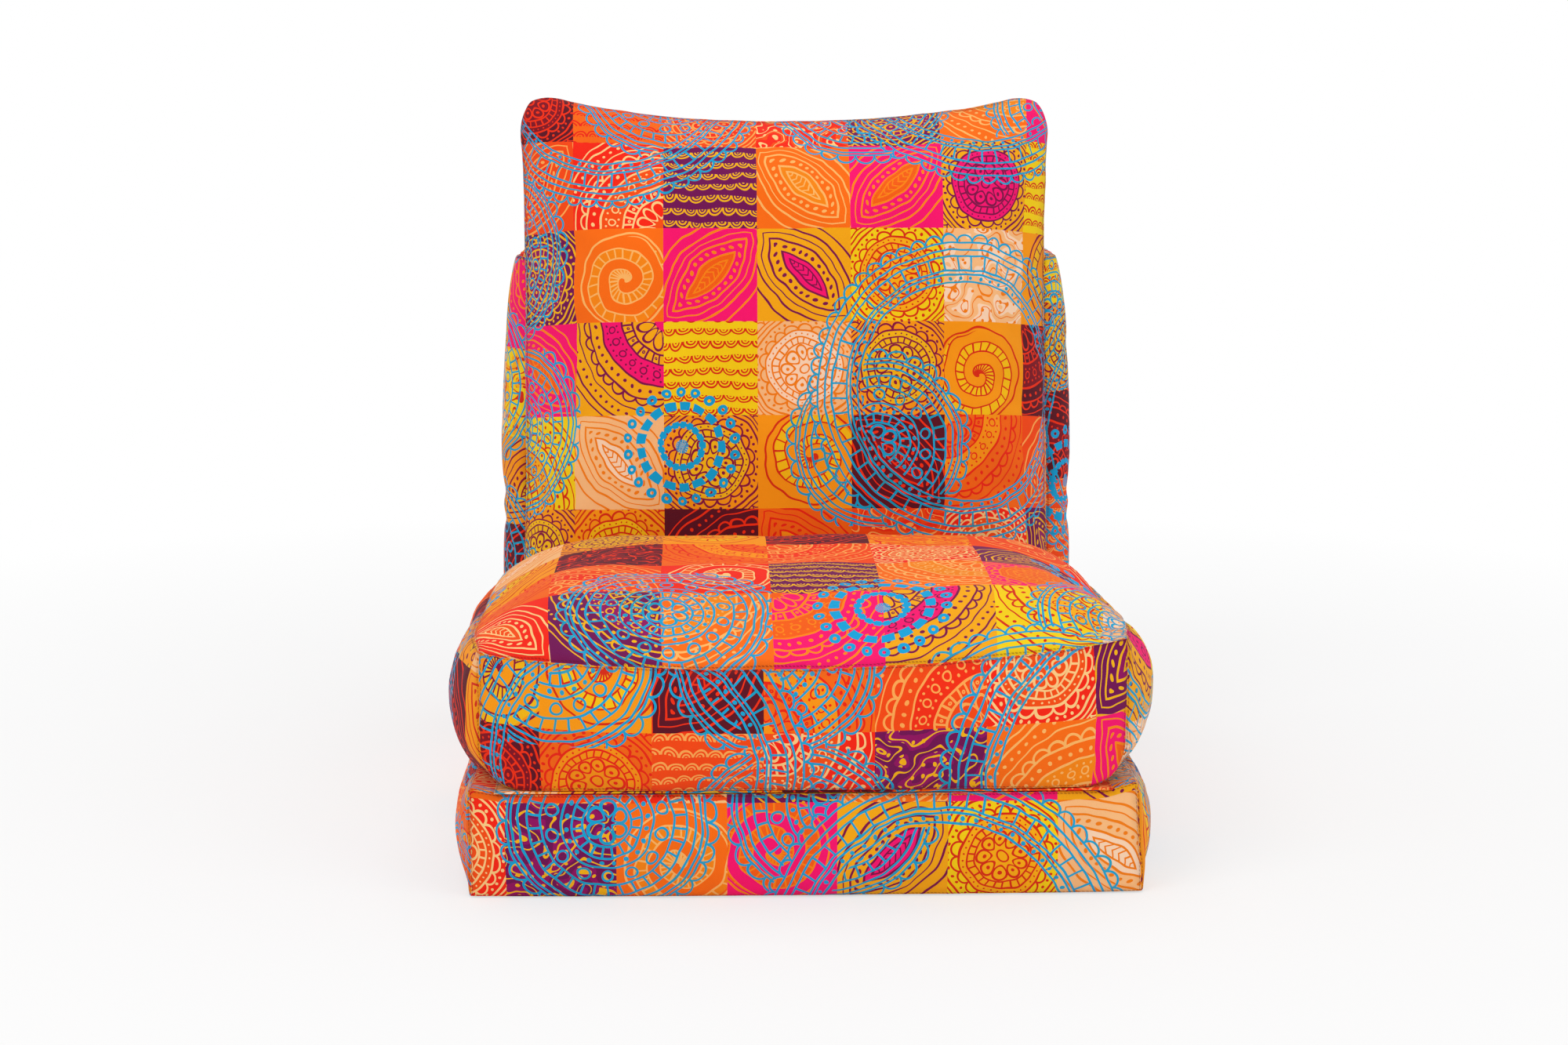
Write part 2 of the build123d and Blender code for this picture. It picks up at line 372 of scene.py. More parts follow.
def patchwork():
    """A printed patchwork of 10 cm squares with drawn ornaments, and blue line work over it."""
    tree = bpy.data.node_groups.new("Patchwork print", "ShaderNodeTree")
    tree.interface.new_socket("Color", in_out="OUTPUT", socket_type="NodeSocketColor")
    tree.interface.new_socket("Height", in_out="OUTPUT", socket_type="NodeSocketFloat")
    uv = tree.nodes.new("ShaderNodeUVMap")
    uv.uv_map = "Print"

    def parts(socket, kind="ShaderNodeSeparateXYZ"):
        """The three numbers of a vector or colour."""
        node = tree.nodes.new(kind)
        tree.links.new(socket, node.inputs[0])
        return [Number(tree, out) for out in node.outputs]

    def random_of(i, j, seed):
        """Three random numbers of a place in a lattice."""
        vector = tree.nodes.new("ShaderNodeCombineXYZ")
        tree.links.new(i.socket, vector.inputs[0])
        tree.links.new(j.socket, vector.inputs[1])
        vector.inputs[2].default_value = seed
        node = tree.nodes.new("ShaderNodeTexWhiteNoise")
        tree.links.new(vector.outputs[0], node.inputs[0])
        return parts(node.outputs["Color"], "ShaderNodeSeparateColor")

    def noise(scale, detail=1.0):
        """Smooth noise over the print."""
        node = tree.nodes.new("ShaderNodeTexNoise")
        node.inputs["Scale"].default_value = scale
        node.inputs["Detail"].default_value = detail
        tree.links.new(uv.outputs[0], node.inputs["Vector"])
        return node.outputs

    x, y, _ = parts(uv.outputs[0])
    waver_x, waver_y, smooth = parts(noise(3.2)["Color"], "ShaderNodeSeparateColor")
    waver_x, waver_y = (waver_x - 0.5) * 0.1, (waver_y - 0.5) * 0.1

    # The patch, its kind, and its own flipped coordinates
    i, j = x.floor(), y.floor()
    first, second, third = random_of(i, j, 3.0)
    kind = ((i * 5 + j * 2).mod(12) + 0.5) * (1 / 12)
    a = (x - i - 0.5 + waver_x) * (first > 0.5).flag()
    b = (y - j - 0.5 + waver_y) * (second > 0.5).flag()

    ornaments = (
        (0.0, 0.25, fan(a, b)),
        (0.25, 0.45, rose(a, b)),
        (0.45, 0.66, leaf(a, b)),
        (0.66, 0.77, contours(a, b, smooth)),
        (0.77, 0.86, scales(a, b)),
        (0.86, 1.0, curl(a, b)),
    )
    drawn = filled = None
    for low, high, (mask, fill) in ornaments:
        chosen = third.within(low, high)
        drawn = mask * chosen if drawn is None else drawn + mask * chosen
        if fill:
            filled = fill * chosen if filled is None else filled + fill * chosen

    color = mixed(tree, filled, steps(tree, kind, GROUNDS), steps(tree, kind, FILLS))
    color = mixed(tree, drawn, color, steps(tree, kind, LINES))

    def lattice(pitch_x, pitch_y, jitter, seed):
        """Distance and turn about the nearest centre of a loose lattice, and its random number."""
        p, q = x * (1 / pitch_x), y * (1 / pitch_y)
        column, level = p.floor(), q.floor()
        shift_x, shift_y, pick = random_of(column, level, seed)
        away_x = (p - column - 0.5) * pitch_x + (shift_x - 0.5) * jitter + waver_x * 0.7
        away_y = (q - level - 0.5) * pitch_y + (shift_y - 0.5) * jitter + waver_y * 0.7
        return *polar(away_x, away_y), pick

    wide_r, wide_turn, wide_pick = lattice(4.3, 3.7, 0.8, 29.0)
    has_sweep = wide_pick > 0.42
    sweeps = sweep(wide_r, wide_turn) * has_sweep
    off_band = wide_r.within(1.14, 1.66) * has_sweep * -1 + 1
    r, turn, pick = lattice(2.15, 1.95, 0.28, 11.0)
    rosettes = rosette(r, turn) * pick.within(0.0, 0.52) * off_band
    crowns = crown(r, turn) * pick.within(0.80, 0.92)
    blue = mixed(tree, (smooth - 0.45) * 3, "00A6D6", "0E9CB4")
    color = mixed(tree, (rosettes | sweeps) * 0.93, color, blue)
    color = mixed(tree, crowns, color, "18A2D8")

    # Needle holes, painted shade along the seams, and puckers beside the panel's seams, from its
    # distance to them in metres
    edge = tree.nodes.new("ShaderNodeUVMap")
    edge.uv_map = "Edge"
    edge_x, edge_y, _ = parts(edge.outputs[0])
    nearest = edge_x.node("MINIMUM", edge_y)
    stitch = nearest.near(0.0019, 0.00055) * (((x + y) * 29).fract() > 0.34)
    color = mixed(tree, stitch * 0.5, color, "5A1512")
    # Painted shade: the cloth is darkened towards each seam, as if its groove lay in shadow
    seam_shade = (nearest * -110 + 1).node("MAXIMUM", 0)
    color = mixed(tree, seam_shade * 0.2, color, "7A1E14")

    def puckers(t, gap):
        """Small folds across a seam, at places along it, that fade away from it."""
        fade = (gap * -55 + 1).node("MAXIMUM", 0)
        return ((t * 43).sin() + (t * 71 + 1.7).sin() + (t * 17 + 0.6).sin()) * fade * fade

    folds = (puckers(y, edge_x) + puckers(x, edge_y)) * 0.00022 - stitch * 0.0003

    # Slight unevenness of the dye
    shade = (Number(tree, noise(1.3, 4.0)["Fac"]) - 0.5) * 0.16 + 1
    tint = tree.nodes.new("ShaderNodeHueSaturation")
    tint.inputs["Saturation"].default_value = 1.1
    tree.links.new(shade.socket, tint.inputs["Value"])
    tree.links.new(color, tint.inputs["Color"])

    weave = ((x * 700).sin() * (y * 700).sin() * 0.5 + ((x + y) * 330).sin() * 0.3) * 0.00005
    soft = Number(tree, noise(1.8, 3.0)["Fac"]) * 0.0011
    out = tree.nodes.new("NodeGroupOutput")
    tree.links.new(tint.outputs[0], out.inputs[0])
    tree.links.new((weave + soft + folds).socket, out.inputs[1])
    return tree


# Materials


def material(name, color="808080", roughness=0.8, metallic=0.0, sheen=0.0):
    """A new material and its tree, with the plain values on the shader itself."""
    made = bpy.data.materials.new(name)
    made.use_nodes = True
    shader = made.node_tree.nodes["Principled BSDF"]
    shader.inputs["Base Color"].default_value = linear(color)
    shader.inputs["Roughness"].default_value = roughness
    shader.inputs["Metallic"].default_value = metallic
    if sheen:
        shader.inputs["Sheen Weight"].default_value = sheen
        shader.inputs["Sheen Roughness"].default_value = 0.5
    return made, made.node_tree, shader


def raised(tree, shader, height, distance=1.0, strength=1.0):
    """Relief from a height in metres."""
    bump = tree.nodes.new("ShaderNodeBump")
    bump.inputs["Strength"].default_value = strength
    bump.inputs["Distance"].default_value = distance
    tree.links.new(height, bump.inputs["Height"])
    tree.links.new(bump.outputs[0], shader.inputs["Normal"])


def textured(
    name, color, other, scale, roughness, relief, metallic=0.0, sheen=0.0, stretch=(1, 1, 1)
):
    """A material with a fine grain in its colour and relief."""
    made, tree, shader = material(name, color, roughness, metallic, sheen)
    coordinates = tree.nodes.new("ShaderNodeTexCoord")
    mapping = tree.nodes.new("ShaderNodeMapping")
    mapping.inputs["Scale"].default_value = stretch
    tree.links.new(coordinates.outputs["Object"], mapping.inputs[0])
    grain = tree.nodes.new("ShaderNodeTexNoise")
    grain.inputs["Scale"].default_value = scale
    grain.inputs["Detail"].default_value = 5
    tree.links.new(mapping.outputs[0], grain.inputs["Vector"])
    broad = tree.nodes.new("ShaderNodeTexVoronoi")
    broad.inputs["Scale"].default_value = scale * 0.6
    tree.links.new(mapping.outputs[0], broad.inputs["Vector"])
    amount = Number(tree, grain.outputs["Fac"])
    tree.links.new(mixed(tree, (amount - 0.3) * 2, color, other), shader.inputs["Base Color"])
    raised(tree, shader, (amount + Number(tree, broad.outputs["Distance"]) * 0.6).socket, relief)
    return made


def printed_cloth():
    """The printed cotton of the covers."""
    made, tree, shader = material("Printed cloth", roughness=0.85, sheen=0.03)
    shader.inputs["Specular IOR Level"].default_value = 0.25
    group = tree.nodes.new("ShaderNodeGroup")
    group.node_tree = patchwork()
    tree.links.new(group.outputs[0], shader.inputs["Base Color"])
    raised(tree, shader, group.outputs[1])
    return made


PRINTED = printed_cloth()
UNDERSIDE = textured("Underside cloth", "16141A", "2A272E", 1500, 0.9, 0.0002)
FOAM = textured("Foam", "EADFB4", "D9CB98", 700, 0.95, 0.0006)
WADDING = textured("Wadding", "EFEFEC", "DAD9D4", 260, 0.95, 0.002)
FILLING = textured("Fibre fill", "F3F2EE", "DEDDD8", 180, 0.95, 0.003)
TAPE = textured("Zip tape", "8A1A12", "A82A18", 2200, 0.85, 0.0001, stretch=(1, 3, 1))
METAL = textured("Zip metal", "B9B4AA", "8E8A82", 900, 0.3, 0.00003, metallic=1.0)
COIL = textured("Zip coil", "7C1710", "9C2A1C", 1800, 0.45, 0.00005)
THREAD = textured("Thread", "9C2418", "C2401E", 3000, 0.7, 0.00008, stretch=(1, 1, 4))


# Cushions


def swell(t):
    """The height of a bulge along its span, 1 in the middle and 0 at both ends."""
    return 1 - t**4


def ramp(t, start, end):
    """A smooth rise from 0 at start to 1 at end."""
    t = np.clip((t - start) / (end - start), 0, 1)
    return t * t * (3 - 2 * t)


def ticks(length):
    """Places from -1 to 1 along a side, with extra lines beside its two seams."""
    *edge, last = SEAM_LINES
    middle = np.linspace(last, length - last, round((length - 2 * last) / CELL) + 1)
    places = np.concatenate([edge, middle, [length - d for d in reversed(edge)]])
    return 2 * places / length - 1


PANELS = ("top", "bottom", "front", "rear", "left", "right")


def lattice_box(width, depth, height):
    """A box's surface as a lattice: its points and faces, and each face's panel and flat places."""
    lines = ticks(width), ticks(depth), ticks(height)
    last = [len(line) - 1 for line in lines]
    index, places = {}, []

    def vertex(key):
        if key not in index:
            index[key] = len(places)
            places.append([line[n] for line, n in zip(lines, key)])
        return index[key]

    faces, panels, flat = [], [], []
    half = width / 2, depth / 2, height / 2
    # Of each panel: the axes of its rows and columns, its fixed axis and which end of that it is
    layout = ((0, 1, 2, 1), (1, 0, 2, 0), (0, 2, 1, 0), (2, 0, 1, 1), (2, 1, 0, 0), (1, 2, 0, 1))
    for panel, (p, q, fixed, end) in enumerate(layout):
        flat_axes = sorted((p, q))
        for m in range(last[p]):
            for n in range(last[q]):
                keys = []
                for dm, dn in ((0, 0), (1, 0), (1, 1), (0, 1)):
                    key = [0, 0, 0]
                    key[p], key[q], key[fixed] = m + dm, n + dn, end * last[fixed]
                    keys.append(tuple(key))
                faces.append([vertex(key) for key in keys])
                panels.append(panel)
                flat.append(
                    [[lines[axis][k[axis]] * half[axis] for axis in flat_axes] for k in keys]
                )
    return np.array(places), faces, panels, flat


def made_mesh(name, points, faces):
    """A new mesh object in the scene."""
    mesh = bpy.data.meshes.new(name)
    mesh.from_pydata([tuple(p) for p in points], [], faces)
    mesh.polygons.foreach_set("use_smooth", [True] * len(mesh.polygons))
    made = bpy.data.objects.new(name, mesh)
    bpy.context.scene.collection.objects.link(made)
    return made


def positions(mesh):
    """A mesh's points as an array."""
    values = np.zeros(len(mesh.vertices) * 3)
    mesh.vertices.foreach_get("co", values)
    return values.reshape(-1, 3)


def put(mesh, points):
    """Moves a mesh's points."""
    mesh.vertices.foreach_set("co", np.asarray(points, dtype=np.float64).ravel())
    mesh.update()


def normals(mesh):
    """A mesh's vertex normals as an array."""
    values = np.zeros(len(mesh.vertices) * 3)
    mesh.vertex_normals.foreach_get("vector", values)
    return values.reshape(-1, 3)


def boxed(places, size, side, front, rear, crown, floor, power=4):
    """Points of a boxed cushion, from their places between -1 and 1 along each axis.

    power is that of its crown across the width: a higher one fills the shoulders more.
    """
    u, v, w = places.T
    width, depth, height = size
    x = u * (width / 2 + swell(v) * (side[0] + side[1] * swell(w)))
    behind = (1 + v) / 2 * swell(u) * (rear[0] + rear[1] * swell(w))
    before = (1 - v) / 2 * swell(u) * (front[0] + front[1] * swell(w))
    y = v * depth / 2 + behind - before
    z = floor + (1 + w) / 2 * (height + crown * (1 - u**power) * swell(v))
    return np.stack([x, y, z], axis=1)


def tucked(places, size, radius):
    """How far a round lower corner of a given radius draws each point in and up."""
    u, v, w = places.T
    p = np.clip(1 - (1 - abs(u)) * size[0] / 2 / radius, 0, 1)
    q = np.clip(1 - (1 + w) / 2 * size[2] / radius, 0, 1)
    share = radius * ramp(abs(v), 0.55, 1)
    return p * (1 - np.sqrt(1 - q * q / 2)) * share, q * (1 - np.sqrt(1 - p * p / 2)) * share


def cushion(name, size, form, place, print_at, pull=0, tuck=0, rise=(0, 0, 0), taper=0):
    """The cover of a boxed cushion as one mesh, its panels told apart by material index.

    pull draws the upright corners in, tuck is the radius of the lower corners, rise lifts the
    front of the top edge by a curve of u, and taper narrows the upper half.
    """
    places, faces, panels, flat = lattice_box(*size)
    points = boxed(places, size, *form)
    u, v, w = places.T
    drawn = pull * ramp(abs(u), 0.8, 1)
    points[:, 0] -= np.sign(u) * drawn * ramp(abs(v), 0.4, 1)
    points[:, 1] -= np.sign(v) * drawn * 0.6 * ramp(abs(v), 0.8, 1)
    points[:, 2] += (rise[0] + rise[1] * u + rise[2] * u * u) * (1 + w) / 2 * ramp(-v, -0.2, 1)
    points[:, 0] *= 1 - taper * ramp(w, -0.1, 1)
    if tuck:
        inward, up = tucked(places, size, tuck)
        points[:, 0] -= np.sign(u) * inward
        points[:, 2] += up
    points += np.array(place)
    cover = made_mesh(name, points, faces)
    layer = cover.data.uv_layers.new(name="Print")
    uvs = []
    for panel, ring in zip(panels, flat):
        at = print_at[PANELS[panel]]
        uvs += [(x / PATCH + at[0], y / PATCH + at[1]) for x, y in ring]
    layer.data.foreach_set("uv", np.array(uvs).ravel())
    edge_layer(cover, panels)
    cover.data.polygons.foreach_set("material_index", panels)
    seams = (np.abs(np.abs(places) - 1) < 1e-9).sum(axis=1) >= 2
    return cover, places, seams


def edge_layer(piece, panels=None):
    """Keeps each corner's distance to its panel's edges, in metres, beside its print places."""
    mesh = piece.data
    values = np.zeros(len(mesh.loops) * 2)
    mesh.uv_layers["Print"].data.foreach_get("uv", values)
    flat = values.reshape(-1, 2) * PATCH
    gaps = np.zeros_like(flat)
    owner = np.repeat(panels if panels else [0] * len(mesh.polygons), 4)
    for panel in set(owner):
        own = flat[owner == panel]
        gaps[owner == panel] = np.minimum(own - own.min(axis=0), own.max(axis=0) - own)
    mesh.uv_layers.new(name="Edge").data.foreach_set("uv", gaps.ravel())


def rounded(x, y, half_x, half_y, radius):
    """Points of a rectangle, drawn in so that its corners are round."""
    p = np.clip((abs(x) - half_x + radius) / radius, 0, 1)
    q = np.clip((abs(y) - half_y + radius) / radius, 0, 1)
    new_x = np.where(p > 0, half_x - radius + radius * p * np.sqrt(1 - q * q / 2), abs(x))
    new_y = np.where(q > 0, half_y - radius + radius * q * np.sqrt(1 - p * p / 2), abs(y))
    return np.sign(x) * new_x, np.sign(y) * new_y


# Where the middle of the pillow's print lies, above its foot
PRINT_MIDDLE = 0.31


def by_length(grid):
    """Flat places of the pillow's grid of points, by their distance along the cloth."""
    flat = []
    for axis in (0, 1):
        steps_on = np.linalg.norm(np.diff(grid, axis=axis), axis=2)
        lengths = np.zeros(grid.shape[:2])
        if axis == 0:
            lengths[1:] = np.cumsum(steps_on, axis=0)
            lengths -= lengths[-1] / 2
        else:
            lengths[:, 1:] = np.cumsum(steps_on, axis=1)
            lengths += PRINT_MIDDLE - lengths[:, -1:] / 2
        flat.append(lengths)
    return np.stack(flat, axis=2)


def pillow_cover(name):
    """The pillow's two panels as one mesh, in the pillow's own frame, standing on its foot."""
    half_x, half_z = PILLOW_HALF
    corner_radius, side_draw, end_draw = 0.058, 0.008, 0.036
    front_crown, rear_crown = 0.077, 0.043
    across, up = ticks(2 * half_x), ticks(2 * half_z)
    columns, rows = len(across), len(up)
    places, faces, panels, flat, rings = [], [], [], [], []
    front = np.arange(columns * rows).reshape(columns, rows)
    rear = front.copy()
    count = columns * rows
    for m in range(columns):
        for n in range(rows):
            places.append((across[m], up[n], -1.0))
    for m in range(1, columns - 1):
        for n in range(1, rows - 1):
            rear[m, n] = count
            count += 1
            places.append((across[m], up[n], 1.0))
    for panel, grid in enumerate((front, rear)):
        for m in range(columns - 1):
            for n in range(rows - 1):
                ring = [(m, n), (m + 1, n), (m + 1, n + 1), (m, n + 1)]
                if panel:
                    ring.reverse()
                rings.append(ring)
                faces.append([int(grid[key]) for key in ring])
                panels.append(panel)
                flat.append([(across[a] * half_x, (up[b] + 1) * half_z) for a, b in ring])
    u, v, side = np.array(places).T
    x, z = rounded(u * half_x, v * half_z, half_x, half_z, corner_radius)
    x -= u * side_draw * swell(v)
    z += half_z - v * end_draw * (1 - abs(u) ** 2.4)
    fullness = (swell(u) * swell(v)) ** 0.56
    y = np.where(side < 0, -front_crown, rear_crown) * fullness
    points = np.stack([x, y, z], axis=1)
    cover = made_mesh(name, points, faces)
    layer = cover.data.uv_layers.new(name="Print")
    # The distances to the seams come from the flat panels, and the print follows the full ones
    layer.data.foreach_set("uv", np.array([at for ring in flat for at in ring]).ravel() / PATCH)
    edge_layer(cover, panels)
    print_at = ((17.32, 6.4), (7.4, 3.2))
    spread = [by_length(points[grid]) / PATCH + at for grid, at in zip((front, rear), print_at)]
    uvs = [spread[panel][key] for panel, ring in zip(panels, rings) for key in ring]
    layer.data.foreach_set("uv", np.array(uvs).ravel())
    cover.data.polygons.foreach_set("material_index", panels)
    seams = (abs(u) > 1 - 1e-9) | (abs(v) > 1 - 1e-9)
    return cover, seams


def inflate(covers, frames=14):
    """Fills covers with air while their seams are held, and keeps each point near its start.

    Each cover has how firmly each point is held, the growth of its cloth, and its largest move.
    """
    scene = bpy.context.scene
    starts = {}
    for cover, held, growth, _ in covers:
        starts[cover.name] = positions(cover.data)
        group = cover.vertex_groups.new(name="held")
        weights = np.round(held, 2)
        for value in sorted(set(weights)):
            if value > 0:
                group.add(np.nonzero(weights == value)[0].tolist(), float(value), "REPLACE")
        cloth = cover.modifiers.new("Cloth", "CLOTH")
        settings = cloth.settings
        settings.quality = 6
        settings.mass = 0.25
        settings.tension_stiffness = settings.compression_stiffness = 18
        settings.shear_stiffness = 6
        settings.bending_stiffness = 0.35
        settings.use_pressure = True
        settings.uniform_pressure_force = 3.5
        settings.vertex_group_mass = "held"
        settings.pin_stiffness = 1.0
        settings.shrink_min = -growth
        settings.effector_weights.gravity = 0
        cloth.collision_settings.use_collision = False
        cloth.point_cache.frame_start = 1
        cloth.point_cache.frame_end = frames
    scene.frame_start = 1
    for step in range(1, frames + 1):
        scene.frame_set(step)
    graph = bpy.context.evaluated_depsgraph_get()
    for cover, _, _, cap in covers:
        moved = positions(cover.evaluated_get(graph).data) - starts[cover.name]
        length = np.linalg.norm(moved, axis=1)
        share = np.minimum(1, cap / np.maximum(length, 1e-9))
        cover.modifiers.clear()
        put(cover.data, starts[cover.name] + moved * share[:, None])
    scene.frame_set(1)


def dented(cover, held, seed, amount):
    """Shallow uneven dents, as filled cloth has, away from what holds the cloth."""
    points, outward = positions(cover.data), normals(cover.data)
    chance = np.random.default_rng(seed)
    depth, waves = np.zeros(len(points)), 8
    for _ in range(waves):
        direction = chance.normal(size=3)
        wave = 2 * math.pi / chance.uniform(0.07, 0.17) / np.linalg.norm(direction)
        depth += np.sin(points @ direction * wave + chance.uniform(0, 2 * math.pi)) / waves**0.5
    put(cover.data, points + outward * (depth * amount * (1 - held))[:, None])


def subdivided(cover):
    """The same mesh with one level of subdivision."""
    modifier = cover.modifiers.new("Subdivision", "SUBSURF")
    modifier.levels = modifier.render_levels = 1
    modifier.uv_smooth = "PRESERVE_BOUNDARIES"
    graph = bpy.context.evaluated_depsgraph_get()
    mesh = bpy.data.meshes.new_from_object(cover.evaluated_get(graph))
    cover.modifiers.clear()
    return mesh


def panel_pieces(cover, names, body):
    """Cuts a finished cover into its panels, each a piece that stands for its own node."""
    mesh = subdivided(cover)
    points = positions(mesh)
    layers = {}
    for label in ("Print", "Edge"):
        values = np.zeros(len(mesh.loops) * 2)
        mesh.uv_layers[label].data.foreach_get("uv", values)
        layers[label] = values.reshape(-1, 2)
    for panel, (piece_name, node, cloth) in enumerate(names):
        index, faces, loops = {}, [], []
        for polygon in mesh.polygons:
            if polygon.material_index == panel:
                faces.append([index.setdefault(v, len(index)) for v in polygon.vertices])
                loops += list(polygon.loop_indices)
        order = np.array(sorted(index, key=index.get))
        piece = made_mesh(piece_name, points[order], faces)
        for label, values in layers.items():
            piece.data.uv_layers.new(name=label).data.foreach_set("uv", values[loops].ravel())
        piece.data.materials.append(PRINTED if cloth == "printed_cloth" else UNDERSIDE)
        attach(piece, body)
        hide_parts(node)
    bpy.data.meshes.remove(mesh)


def filling(cover, name, node, body, inset, look, axes=np.eye(3)):
    """An inner form, shrunk from the cover about its middle by a given wall along its axes."""
    points = positions(cover.data) @ axes
    low, high = points.min(axis=0), points.max(axis=0)
    middle, half = (low + high) / 2, (high - low) / 2
    points = (middle + (points - middle) * (half - inset) / half) @ axes.T
    faces = [list(p.vertices) for p in cover.data.polygons]
    piece = made_mesh(name, points, faces)
    piece.data.materials.append(look)
    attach(piece, body)
    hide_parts(node)


def grooved(cover, seams, depth, seed, flush=0):
    """Draws the seams in, with small uneven puckers, but not where they lie flush."""
    mesh = cover.data
    points, outward = positions(mesh), normals(mesh)
    chance = np.random.default_rng(seed)
    depths = (depth + chance.uniform(-0.0006, 0.0006, len(points))) * (1 - flush)
    points[seams] -= (outward * depths[:, None])[seams]
    put(mesh, points)


# The three boxed sections and the pillow
base_at = (0, FRONT + BASE_SIZE[1] / 2, 0)
seat_at = (0, FRONT + SEAT_SIZE[1] / 2, 0)
back_at = (0.0045, FRONT + BACK_FRONT + BACK_SIZE[1] / 2, 0)

base, base_places, base_seams = cushion(
    "Base_cover",
    BASE_SIZE,
    ((0.006, 0.019), (0.005, 0.008), (0.002, 0.002), 0, 0),
    base_at,
    {
        "top": (4.3, 1.2),
        "bottom": (0, 0),
        "front": (0.70, 2.59),
        "rear": (9.2, 6.4),
        "left": (12.6, 3.7),
        "right": (20.3, 8.6),
    },
)
seat, seat_places, seat_seams = cushion(
    "Seat_cover",
    SEAT_SIZE,
    ((0.007, 0.025), (0.008, 0.013), (0.002, 0.003), 0.0485, SEAT_LOW, 6),
    seat_at,
    {
        "top": (0.27, 16.45),
        "bottom": (30.6, 12.2),
        "front": (3.37, 5.99),
        "rear": (15.1, 21.3),
        "left": (8.2, 14.6),
        "right": (25.6, 19.1),
    },
    pull=0.0065,
    tuck=0.035,
    rise=(-0.0028, 0.0052, 0.019),
)
back, back_places, back_seams = cushion(
    "Back_cover",
    BACK_SIZE,
    ((0.010, 0.011), (0.002, 0.010), (0.002, 0.010), 0.012, BACK_LOW),
    back_at,
    {
        "top": (2.4, 40.3),
        "bottom": (7.3, 33.1),
        "front": (14.82, 27.3),
        "rear": (5.3, 30.2),
        "left": (35.2, 11.4),
        "right": (18.7, 37.9),
    },
    pull=0.006,
    taper=0.025,
)
pillow, pillow_seams = pillow_cover("Pillow_cover")


def held_near(places, seams, *zones):
    """How firmly each point is held while a cover fills: fully at the seams and in its zones.

    A zone is the middle of one face: the face's axis and sign, an axis along it, and its reach
    each way along that.
    """
    held = seams.astype(float)
    for axis, sign, along, reach in zones:
        on_face = places[:, axis] * sign > 1 - 1e-9
        held = np.maximum(held, on_face * (1 - ramp(abs(places[:, along]), reach, reach + 0.25)))
    return held


# The zips' places are held, and the whole of each face that lies on another or on the floor
underside, topside = (2, -1, 0, 1), (2, 1, 0, 1)
base_held = held_near(base_places, base_seams, (0, 1, 1, 0.5), underside, topside)
seat_held = held_near(seat_places, seat_seams, (1, 1, 0, 0.55), underside)
back_held = held_near(back_places, back_seams, (2, 1, 0, 0.55), underside)
pillow_held = pillow_seams.astype(float)
inflate(
    [
        (base, base_held, 0.012, 0.005),
        (seat, seat_held, 0.015, 0.007),
        (back, back_held, 0.015, 0.006),
        (pillow, pillow_held, 0.012, 0.007),
    ]
)

dented(base, base_held, 21, 0.0008)
dented(seat, seat_held, 22, 0.0014)
dented(back, back_held, 23, 0.0012)
dented(pillow, pillow_held, 24, 0.0016)

# Rest the covers on what carries them
points = positions(base.data)
rim = ramp(np.maximum(abs(base_places[:, 0]), abs(base_places[:, 1])), 0.955, 1)
points[:, 2] = np.clip(points[:, 2], BASE_LOW, BASE_HIGH)
points[:, 2] += BASE_LOW * rim * (base_places[:, 2] < -0.99)
# The front corners stand a little proud where the seat doesn't press on them
u, v, w = base_places.T
puff = np.where(u < 0, 0.005, 0.008) * ramp(abs(u), 0.88, 1)
points[:, 2] += puff * ramp(-v, 0.6, 1) * (1 + w) / 2
points[:, 0] += 0.006 * (1 - w) / 2 * ramp(u, 0.8, 1) * ramp(-v, 0.6, 1)
# The left side is flatter than the right and leans in, and the right side's front is fuller
points[:, 0] += ramp(-u, 0.8, 1) * swell(v) * (0.005 * swell(w) + 0.006 * w)
points[:, 0] += 0.0035 * ramp(u, 0.8, 1) * (1 - v**8) * ramp(-v, 0.45, 0.8) * swell(w)
put(base.data, points)
points = positions(seat.data)
u, v, w = seat_places.T
points[:, 0] += 0.004 * ramp(-u, 0.8, 1) * swell(v) * swell(w)
points[:, 2] = np.maximum(points[:, 2], SEAT_LOW)
put(seat.data, points)
points = positions(back.data)
points[:, 2] = np.maximum(points[:, 2], BACK_LOW + 0.0001)
put(back.data, points)
turn = np.array(Euler((-LEAN, 0, 0)).to_matrix())
points = positions(pillow.data) @ turn.T + np.array((0, FRONT + PILLOW_FOOT, PILLOW_LOW))
put(pillow.data, points)

# The seams lie flush where the front hinge is sewn in, and all round the base's underside
u, v, w = base_places.T
base_flush = (v < -0.999) * (w > 0.999) * (abs(u) < 0.9) + (w < -0.999)
u, v, w = seat_places.T
seat_flush = (v < -0.999) * (w < -0.999) * (abs(u) < 0.9)
grooved(base, base_seams, GROOVE, 5, flush=base_flush)
grooved(seat, seat_seams, GROOVE, 6, flush=seat_flush)
grooved(back, back_seams, GROOVE, 7)
grooved(pillow, pillow_seams, PILLOW_GROOVE, 8)


def section_names(prefix, node_of):
    """Piece names, nodes and cloths of a section's six panels, in the order of PANELS."""
    rows = []
    for panel in PANELS:
        node = prefix.lower() + "_" + node_of.get(panel, panel + "_border")
        cloth = "underside_cloth" if node == "base_underside" else "printed_cloth"
        rows.append((prefix + "_" + panel + "_cover", node, cloth))
    return rows


base_names = section_names("Base", {"top": "top_panel", "bottom": "underside"})
seat_names = section_names("Seat", {"top": "top_panel", "bottom": "bottom_panel"})
back_names = section_names("Back", {"front": "front_panel", "rear": "rear_panel"})
pillow_names = [
    ("Pillow_front_cover", "pillow_front_panel", "printed_cloth"),
    ("Pillow_rear_cover", "pillow_rear_panel", "printed_cloth"),
]
panel_pieces(base, base_names, "base")
panel_pieces(seat, seat_names, "seat")
panel_pieces(back, back_names, "back")
panel_pieces(pillow, pillow_names, "pillow")

